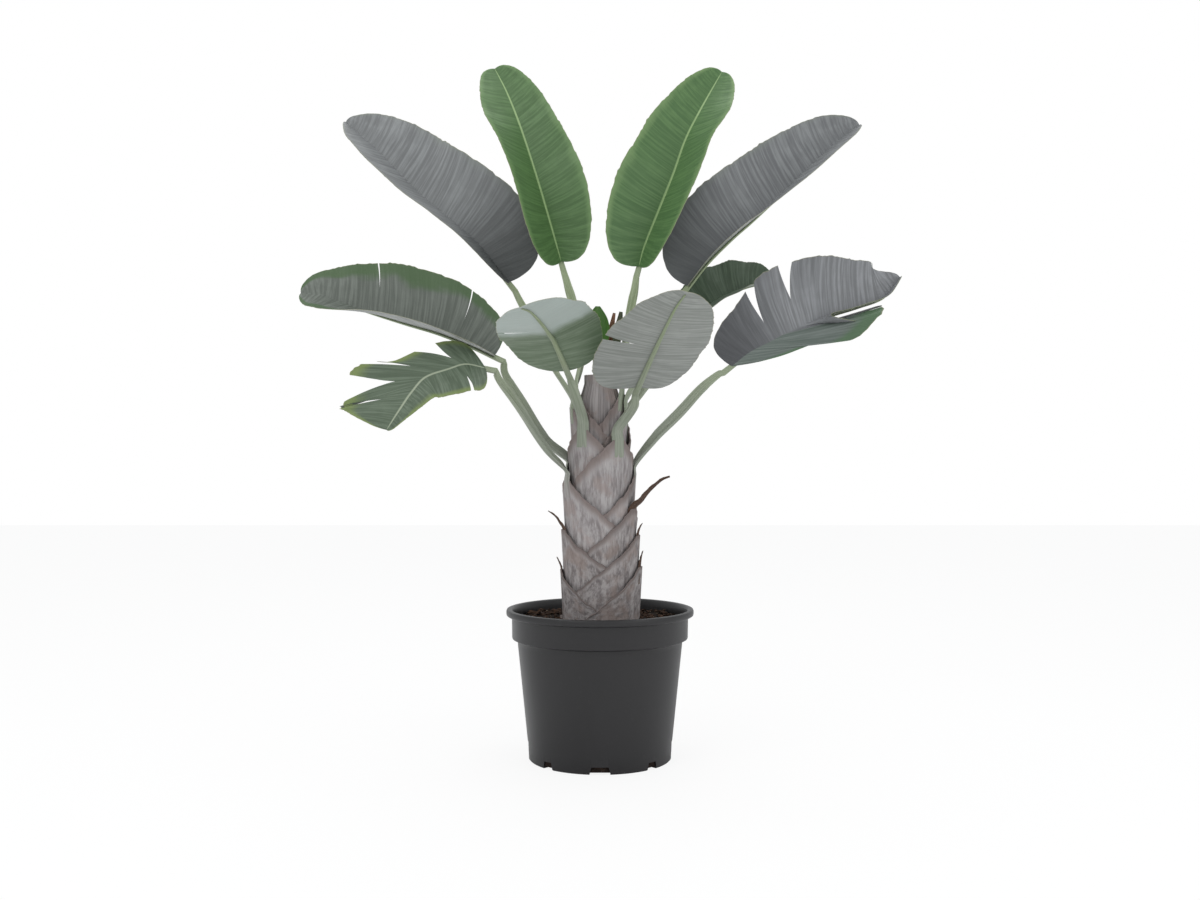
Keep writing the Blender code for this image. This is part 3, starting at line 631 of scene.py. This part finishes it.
def stalk_material():
    """Green stalk, paler along its length, that greys into the fibrous wrap below."""
    material, n, shader = new_material("stalk_skin")
    place = n.coordinates("Object")
    z = n.parts(place)[2]
    streak = n.noise(n.scaled(n.coordinates("UV"), 26, 5), 1, 3)
    patch = n.noise(n.scaled(place, 30, 30, 10), 1, 3)
    green = n.mix(n.ramp(streak, 0.3, 0.7), linear(122, 136, 102), linear(146, 158, 126))
    pale = n.mix(n.ramp(streak, 0.3, 0.7), linear(122, 130, 114), linear(146, 152, 138))
    level = n.maths("ADD", z, n.around(patch, 0.10))
    colour = n.mix(n.ramp(level, 0.58, 0.80), pale, green)
    bark = n.mix(n.ramp(streak, 0.3, 0.7), linear(128, 122, 120), linear(156, 152, 150))
    colour = n.mix(n.ramp(level, 0.46, 0.56), bark, colour)
    colour = n.mix(n.ramp(patch, 0.56, 0.74, 0, 0.22), colour, linear(104, 112, 80))
    n.link(colour, shader.inputs["Base Color"])
    shader.inputs["Roughness"].default_value = 0.48
    n.link(n.bump(streak, 0.35, 0.001), shader.inputs["Normal"])
    return material


def bark_material(name, light, dark, tint, margin):
    """Dry fibrous wrap: upright threads, brown patches, dark torn margins."""
    material, n, shader = new_material(name)
    uv = n.coordinates("UV")
    place = n.coordinates("Object")
    out = n.parts(uv)[1]
    threads = n.noise(n.scaled(uv, 90, 5), 1, 5, 0.7)
    hairs = n.noise(n.scaled(uv, 260, 9), 1, 2, 0.6)
    patch = n.noise(place, 26, 4, 0.6)
    colour = n.mix(n.ramp(threads, 0.36, 0.64), dark, light)
    colour = n.mix(n.ramp(hairs, 0.58, 0.72, 0, 0.5), colour, shade(light, 1.25))
    colour = n.mix(n.ramp(patch, 0.48, 0.66, 0, 0.65), colour, tint)
    edge = n.maths("ADD", out, n.around(threads, 0.12))
    colour = n.mix(n.ramp(edge, 0.90, 0.99, 0, 0.85), colour, margin)
    colour = n.mix(n.ramp(out, 0.86, 0.93, 0, 0.25), colour, shade(light, 1.2))
    n.link(colour, shader.inputs["Base Color"])
    shader.inputs["Roughness"].default_value = 0.85
    shader.inputs["Specular IOR Level"].default_value = 0.2
    height = n.maths("ADD", threads, n.maths("MULTIPLY", hairs, 0.5))
    n.link(n.bump(height, 0.9, 0.003), shader.inputs["Normal"])
    return material


def pot_material():
    """Black moulded plastic, faintly clouded and dusty."""
    material, n, shader = new_material("pot_plastic")
    place = n.coordinates("Object")
    cloud = n.noise(n.scaled(place, 6, 6, 2), 1, 4)
    dust = n.noise(place, 140, 3)
    colour = n.mix(n.ramp(cloud, 0.35, 0.7), linear(19, 18, 20), linear(27, 26, 28))
    colour = n.mix(n.ramp(dust, 0.62, 0.75, 0, 0.25), colour, linear(48, 46, 48))
    n.link(colour, shader.inputs["Base Color"])
    n.link(n.ramp(cloud, 0.3, 0.7, 0.36, 0.48), shader.inputs["Roughness"])
    n.link(n.bump(n.noise(place, 420, 2), 0.12, 0.0006), shader.inputs["Normal"])
    return material


def soil_material(name, light, dark):
    """Crumbly compost or bark in two tones."""
    material, n, shader = new_material(name)
    place = n.coordinates("Object")
    grain = n.noise(place, 190, 6, 0.7)
    clod = n.noise(place, 45, 3)
    colour = n.mix(n.ramp(grain, 0.35, 0.65), dark, light)
    colour = n.mix(n.ramp(clod, 0.4, 0.6, 0, 0.5), colour, shade(dark, 0.7))
    n.link(colour, shader.inputs["Base Color"])
    shader.inputs["Roughness"].default_value = 0.95
    shader.inputs["Specular IOR Level"].default_value = 0.15
    n.link(n.bump(grain, 1.0, 0.003), shader.inputs["Normal"])
    return material


# the plant


def outer_radius(order, z):
    """Radius of the outer side of a wrap at a height."""
    return BASE_RADIUS - BASE_STEP * order + BASE_SLOPE * (z - BASE_Z)


def wrap(name, order, turn, top, fall, seed):
    """One leaf base round the trunk: a sheet whose margins climb to its back."""
    columns, rows = 129, 26
    step = np.linspace(-SIDES / 2, SIDES / 2, columns)[None, :]
    v = np.linspace(0, 1, rows)[:, None]
    rag = sum(np.sin(step * f + seed * f) / f for f in (2.3, 5.1, 9.7, 17.0))
    away = np.maximum(np.abs(step) - 1.0, 0)
    height = np.maximum(top - fall * away + 0.0028 * rag * np.minimum(away / 3, 1), BASE_Z + 0.003)
    z = BASE_Z - 0.004 + (height - BASE_Z + 0.004) * v
    angle = math.tau * (turn + step) / SIDES
    lift = 0.0016 * v**8 * np.minimum(away / 2, 1) * (1 + 0.6 * np.sin(3.1 * step + seed))
    wobble = 0.0006 * np.sin(7 * angle + seed) + 0.0007 * np.sin(31 * angle + 2 * seed)
    radius = outer_radius(order, z) + lift + wobble
    points = np.stack([radius * np.cos(angle), radius * np.sin(angle), z + 0 * angle], -1)
    uv = np.stack([angle * 0.07 + 0 * v, v + 0 * angle], -1)
    item = sheet(name, points, uv)
    skin = item.modifiers.new("skin", "SOLIDIFY")
    skin.thickness = WRAP_SKIN
    skin.offset = -1
    apply(item)
    return item


def stalk_sections(leaf, count=46, ribs=50):
    """Rings along the stalk and on under the blade."""
    angle = math.tau * leaf["turn"] / SIDES
    out0 = np.array([math.cos(angle), math.sin(angle), 0])

    def on_wrap(z):
        return out0 * (outer_radius(leaf["order"], z) - BASE_SKIN) + (0, 0, z)

    start = [on_wrap(leaf["top"] - 0.03), on_wrap(leaf["top"]), on_wrap(leaf["top"] + 0.02)]
    at, rib, along, face, across = rib_lines(leaf)
    s = np.linspace(0, 0.975, ribs)
    rib, along, face, across = (at(table, s) for table in (rib, along, face, across))
    left, right = spread(leaf["fold_left"], s), spread(leaf["fold_right"], s)
    tilt = np.radians((right - left) / 2)[:, None]
    under = unit(np.sin(tilt) * across - np.cos(tilt) * face)
    below = rib + under * 0.0008
    path = curve(start + list(leaf["stalk"]) + [below[0] - 0.02 * unit(along[0])], count)
    line = np.vstack([path, below])
    tangent = unit(np.gradient(line, axis=0))
    radius = outer_radius(leaf["order"], leaf["top"]) - BASE_SKIN
    sections = []
    for i in range(len(line)):
        f = min(i / count, 1)
        want = out0 * (1 - f) + under[0] * f if i < count else under[i - count]
        t = tangent[i]
        out = unit(want - t * np.dot(want, t))
        if i < count:
            k = i / (count - 1)
            width = np.interp(k, (0, 0.10, 0.40, 0.85, 1), (0.016, 0.0135, 0.0100, 0.0075, 0.0055))
            bend = np.interp(k, (0, 0.14, 0.22, 0.42, 0.85, 1),
                             (radius, radius, 0.03, 0.0085, 0.008, 0.03))
            thick = np.interp(k, (0, 0.25, 0.6, 1), (0.0035, 0.0052, 0.0062, 0.0062))
        else:
            r = s[i - count]
            width, bend, thick = 0.0050 - 0.0038 * r, 0.03, 0.0060 - 0.0045 * r
        sections.append(channel(line[i], out, np.cross(t, out), width, bend, thick))
    return sections


def build_leaf(name, leaf, group, skins, seed):
    """Blade, stalk and wrap of one leaf."""
    upper, lower = (blade_material(name + "_" + side, group, length=rib_length(leaf),
                                   **leaf["looks"][side]) for side in ("upper", "lower"))
    strips = []
    for side in (-1, 1):
        for k, (points, uv) in enumerate(half_strips(leaf, side)):
            if side > 0:
                points, uv = points[:, ::-1], uv[:, ::-1]
            strip = sheet("strip_%d_%d" % (side, k), points, uv)
            strip.data.materials.append(upper)
            strip.data.materials.append(lower)
            if side > 0 and k < leaf.get("turned_right", 0):
                strip.data.polygons.foreach_set("material_index", [1] * len(strip.data.polygons))
            strips.append(strip)
    blade = join(strips, "leaf_" + name)
    weld(blade)
    # the third place is the back of the turned strips
    blade.data.materials.append(upper)
    body = blade.modifiers.new("body", "SOLIDIFY")
    body.thickness = BLADE_THICK
    body.offset = 0
    body.material_offset = 1
    body.material_offset_rim = 1
    apply(blade)
    finish_piece(blade, "blade_" + name)
    stalk = tube("petiole_" + name, stalk_sections(leaf), 0.8)
    finish_piece(stalk, "stalk_" + name, skins["stalk"])
    sheath = wrap("sheath_" + name, leaf["order"], leaf["turn"], leaf["top"], leaf["fall"], seed)
    finish_piece(sheath, "stalk_" + name, skins["sheath"])


def build_old_base(name, base, skins, seed, count=22):
    """A wrap without its leaf, with the dried tip that stands off it."""
    sheath = wrap(name + "_wrap", base["order"], base["turn"], base["top"], base["fall"], seed)
    finish_piece(sheath, name, skins["bark"])
    angle = math.tau * base["turn"] / SIDES
    out0 = np.array([math.cos(angle), math.sin(angle), 0])
    foot = [out0 * (outer_radius(base["order"], z) - 0.0024) + (0, 0, z)
            for z in (base["top"] - 0.03, base["top"])]
    line = curve(foot + list(base["tip"]), count)
    tangent = unit(np.gradient(line, axis=0))
    sections = []
    for i in range(count):
        f = i / (count - 1)
        t = tangent[i]
        out = unit(out0 - t * np.dot(out0, t))
        half = base.get("wide", 0.016) * (1 - f) ** 0.8 + 0.0016 + 0.0007 * math.sin(40 * f + seed)
        bend = 0.050 * (1 - f) + 0.0045
        thick = WRAP_SKIN - 0.0012 * f
        sections.append(channel(line[i], out, np.cross(t, out), half, bend, thick))
    tip = tube(name + "_tip", sections, 0.1)
    finish_piece(tip, name, skins["dry"])


def build_shoot(name, shoot, material, count=40):
    """A rolled or half-open young leaf, its hollow side to the front."""
    line = curve(shoot["path"], count)
    tangent = unit(np.gradient(line, axis=0))
    back = np.array([0, 1.0, 0])
    sections = []
    for i in range(count):
        k = i / (count - 1)
        t = tangent[i]
        out = unit(back - t * np.dot(back, t))
        half, bend, thick = (spread(shoot[key], k) for key in ("half", "bend", "thick"))
        sections.append(channel(line[i], out, np.cross(t, out), half, bend, thick, 13))
    item = tube(name + "_skin", sections, 0.2)
    finish_piece(item, name, material)


def turned(name, profile, steps):
    """A body turned from a half section drawn point by point."""
    mesh = bpy.data.meshes.new(name)
    mesh.from_pydata([(r, 0, z) for r, z in profile],
                     [(i, i + 1) for i in range(len(profile) - 1)], [])
    item = bpy.data.objects.new(name, mesh)
    bpy.context.scene.collection.objects.link(item)
    screw = item.modifiers.new("turn", "SCREW")
    screw.steps = screw.render_steps = steps
    screw.use_merge_vertices = True
    screw.merge_threshold = 0.0001
    screw.use_normal_calculate = True
    apply(item)
    weld(item, 0.0001, closed=True)
    return item


def build_pot(material):
    """The nursery pot: foot, tapered wall, collar and rolled rim, with notches in the foot."""
    inside = FOOT_RADIUS - WALL
    profile = [
        (0, 0), (FOOT_RADIUS - 0.0015, 0), (FOOT_RADIUS, 0.0015), (FOOT_RADIUS + 0.0010, 0.030),
        (FOOT_RADIUS + 0.0022, 0.034), (0.1482, 0.205), (0.1486, 0.212), (0.1500, 0.2145),
        (0.1560, 0.2160), (0.1580, 0.2168), (0.1585, 0.219), (0.1590, 0.252), (0.1600, 0.2555),
        (0.1660, 0.2570), (0.1683, 0.2585), (RIM_RADIUS, 0.261), (RIM_RADIUS, 0.2655),
        (0.1680, 0.2683), (0.1660, RIM_TOP), (0.1612, RIM_TOP), (0.1592, 0.2680),
        (0.1575, 0.2640), (0.1560, 0.256), (0.1556, 0.2195),
        (0.1459, 0.2145), (inside + 0.0010, 0.030), (inside, FLOOR), (0, FLOOR)]
    pot = turned("nursery_pot", profile, 128)
    cutters = []
    for i in range(8):
        wide = 0.037 if i % 2 == 0 else 0.024
        bpy.ops.mesh.primitive_cube_add(size=1)
        cutter = bpy.context.object
        angle = math.radians(-90 + 45 * i)
        turn = Matrix.Rotation(angle, 4, "Z")
        for v in cutter.data.vertices:
            x, y, z = v.co
            top = z > 0
            y = y * (wide - (0.007 if top else 0))
            v.co = turn @ Vector((0.127 + x * 0.03, y, NOTCH_HEIGHT if top else -0.002))
        cutters.append(cutter)
        cut = pot.modifiers.new("notch", "BOOLEAN")
        cut.operation = "DIFFERENCE"
        cut.solver = "EXACT"
        cut.object = cutter
    apply(pot)
    for cutter in cutters:
        bpy.data.objects.remove(cutter, do_unlink=True)
    finish_piece(pot, "pot", material)


def build_soil(earth, bark, fleck):
    """The root ball with a lumpy top, strewn with bark and pale flecks."""
    play = 0.0005
    inside = FOOT_RADIUS - WALL
    rings = [(0.1553 - play) * (i / 60) for i in range(60, -1, -1)]
    profile = [(0, FLOOR + play), (inside - play, FLOOR + play), (inside + 0.0010 - play, 0.030),
               (0.1459 - play, 0.2145 + play), (0.1556 - play, 0.2195 + play)]
    profile += [(r, SOIL_TOP - 0.001) for r in rings]
    soil = turned("compost", profile, 160)
    for v in soil.data.vertices:
        if v.co.z > SOIL_TOP - 0.002:
            x, y = v.co.x * 90, v.co.y * 90
            lump = math.sin(x) * math.sin(y * 1.3) + math.sin(x * 2.7 + 1) * math.sin(y * 2.3)
            lump += 0.7 * math.sin(x * 5.9 + 2) * math.sin(y * 6.3 + 1)
            v.co.z += 0.0014 * lump
    finish_piece(soil, "soil", earth)
    random.seed(7)
    for name, material, count, low, high in (("bark_chips", bark, 420, 0.004, 0.011),
                                             ("pale_flecks", fleck, 90, 0.0015, 0.003)):
        chips = []
        for _ in range(count):
            angle = random.uniform(0, math.tau)
            radius = math.sqrt(random.uniform(0.070**2, 0.149**2))
            size = random.uniform(low, high)
            bpy.ops.mesh.primitive_ico_sphere_add(subdivisions=1, radius=1)
            chip = bpy.context.object
            shape = Matrix.Diagonal((size, size * random.uniform(0.3, 0.7),
                                     size * random.uniform(0.15, 0.35), 1))
            turn = Euler((random.uniform(-0.5, 0.5), random.uniform(-0.5, 0.5),
                          random.uniform(0, math.tau))).to_matrix().to_4x4()
            place = Matrix.Translation((radius * math.cos(angle), radius * math.sin(angle),
                                        SOIL_TOP + random.uniform(0.0005, 0.003)))
            chip.data.transform(place @ turn @ shape)
            for v in chip.data.vertices:
                reach = math.hypot(v.co.x, v.co.y)
                if reach > 0.1545:
                    v.co.x *= 0.1545 / reach
                    v.co.y *= 0.1545 / reach
            chips.append(chip)
        item = join(chips, name)
        finish_piece(item, "soil", material)


def build_core(material):
    """The young stem inside the wraps, with a narrower neck above them."""
    order = max(leaf["order"] for leaf in LEAVES.values()) + 1
    rings = []
    for z in np.linspace(BASE_Z - 0.002, CORE_TOP, 30):
        angle = np.linspace(0, math.tau, 97)[:-1]
        radius = outer_radius(order, z) + 0.0005 * np.sin(23 * angle) - 0.001
        neck = min(max((z - CORE_NECK) / 0.03, 0), 1)
        radius = radius * (1 - neck) + (CORE_TIP_RADIUS + 0.0005 * np.sin(23 * angle)) * neck
        rings.append(np.stack([radius * np.cos(angle), radius * np.sin(angle), z + 0 * angle], -1))
    core = tube("inner_stem", rings, 0.35)
    finish_piece(core, "stem_core", material)


def build_studio():
    """White floor and world, three lamps and the camera."""
    bpy.ops.mesh.primitive_plane_add(size=12, location=(0, 0, 0))
    floor = bpy.context.object
    floor.name = "floor"
    floor.data.transform(Matrix.Translation((0, 1.0, -0.0002)))
    material, n, shader = new_material("floor_white")
    shader.inputs["Base Color"].default_value = (0.92, 0.92, 0.92, 1)
    shader.inputs["Roughness"].default_value = 0.7
    glow = n.tree.nodes.new("ShaderNodeEmission")
    glow.inputs["Strength"].default_value = 1.0
    rays = n.tree.nodes.new("ShaderNodeLightPath")
    mix = n.tree.nodes.new("ShaderNodeMixShader")
    n.link(n.maths("MULTIPLY", rays.outputs["Is Camera Ray"], 0.86), mix.inputs[0])
    n.tree.links.new(shader.outputs[0], mix.inputs[1])
    n.tree.links.new(glow.outputs[0], mix.inputs[2])
    n.tree.links.new(mix.outputs[0], n.tree.nodes["Material Output"].inputs[0])
    floor.data.materials.append(material)

    world = bpy.data.worlds.new("studio")
    bpy.context.scene.world = world
    world.use_nodes = True
    n = Nodes(world.node_tree)
    background = world.node_tree.nodes["Background"]
    rays = world.node_tree.nodes.new("ShaderNodeLightPath")
    n.link(n.mix(rays.outputs["Is Camera Ray"], (0.78, 0.79, 0.80, 1), (1, 1, 1, 1)),
           background.inputs["Color"])
    background.inputs["Strength"].default_value = 1.0

    for name, place, aim, size, power in (
            ("key", (-1.6, -2.2, 2.6), (0, 0, 0.7), 1.8, 26),
            ("fill", (2.2, -1.8, 1.6), (0, 0, 0.6), 1.8, 12),
            ("top", (0.2, 0.4, 3.0), (0, 0, 0.6), 2.0, 18)):
        light = bpy.data.lights.new(name, "AREA")
        light.size = size
        light.energy = power
        lamp = bpy.data.objects.new(name, light)
        lamp.location = place
        lamp.rotation_euler = (Vector(aim) - Vector(place)).to_track_quat("-Z", "Y").to_euler()
        bpy.context.scene.collection.objects.link(lamp)

    camera = bpy.data.cameras.new("camera")
    camera.lens = 37.65
    camera.sensor_width = 36
    eye = bpy.data.objects.new("camera", camera)
    eye.location = (0, -2.27, 0.555)
    eye.rotation_euler = (math.radians(90), 0, 0)
    bpy.context.scene.collection.objects.link(eye)
    bpy.context.scene.camera = eye
    bpy.context.scene.view_settings.view_transform = "Standard"


def main():
    """Builds every piece over its node, then the studio."""
    group = vein_group()
    skins = {
        "stalk": stalk_material(),
        "sheath": bark_material("sheath_skin", linear(172, 168, 168), linear(128, 122, 122),
                                linear(152, 140, 136), linear(84, 60, 48)),
        "bark": bark_material("old_bark", linear(164, 159, 158), linear(112, 106, 106),
                              linear(140, 126, 120), linear(70, 48, 38)),
        "dry": bark_material("dry_tip", linear(120, 98, 84), linear(62, 48, 42),
                             linear(88, 62, 48), linear(50, 34, 28)),
    }
    build_pot(pot_material())
    build_soil(soil_material("compost_dark", linear(52, 42, 36), linear(24, 19, 17)),
               soil_material("bark_brown", linear(84, 62, 48), linear(36, 27, 22)),
               soil_material("fleck_pale", linear(150, 140, 124), linear(96, 86, 74)))
    build_core(skins["bark"])
    for seed, (name, base) in enumerate(OLD_BASES.items()):
        build_old_base(name, base, skins, seed + 1.0)
    for seed, (name, leaf) in enumerate(LEAVES.items()):
        build_leaf(name, leaf, group, skins, seed + 9.0)
    fresh = blade_material("young_green", group, main=linear(86, 124, 58), vein=linear(58, 96, 40))
    build_shoot("young_leaf", SHOOTS["young_leaf"], fresh)
    rolled = blade_material("spear_brown", group, main=linear(150, 112, 88),
                            vein=linear(104, 72, 56), rough=0.6)
    build_shoot("spear", SHOOTS["spear"], rolled)
    dusky = blade_material("tip_dark", group, main=linear(74, 82, 54), vein=linear(52, 54, 40))
    build_shoot("dark_tip", SHOOTS["dark_tip"], dusky)
    build_studio()
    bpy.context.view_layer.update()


main()
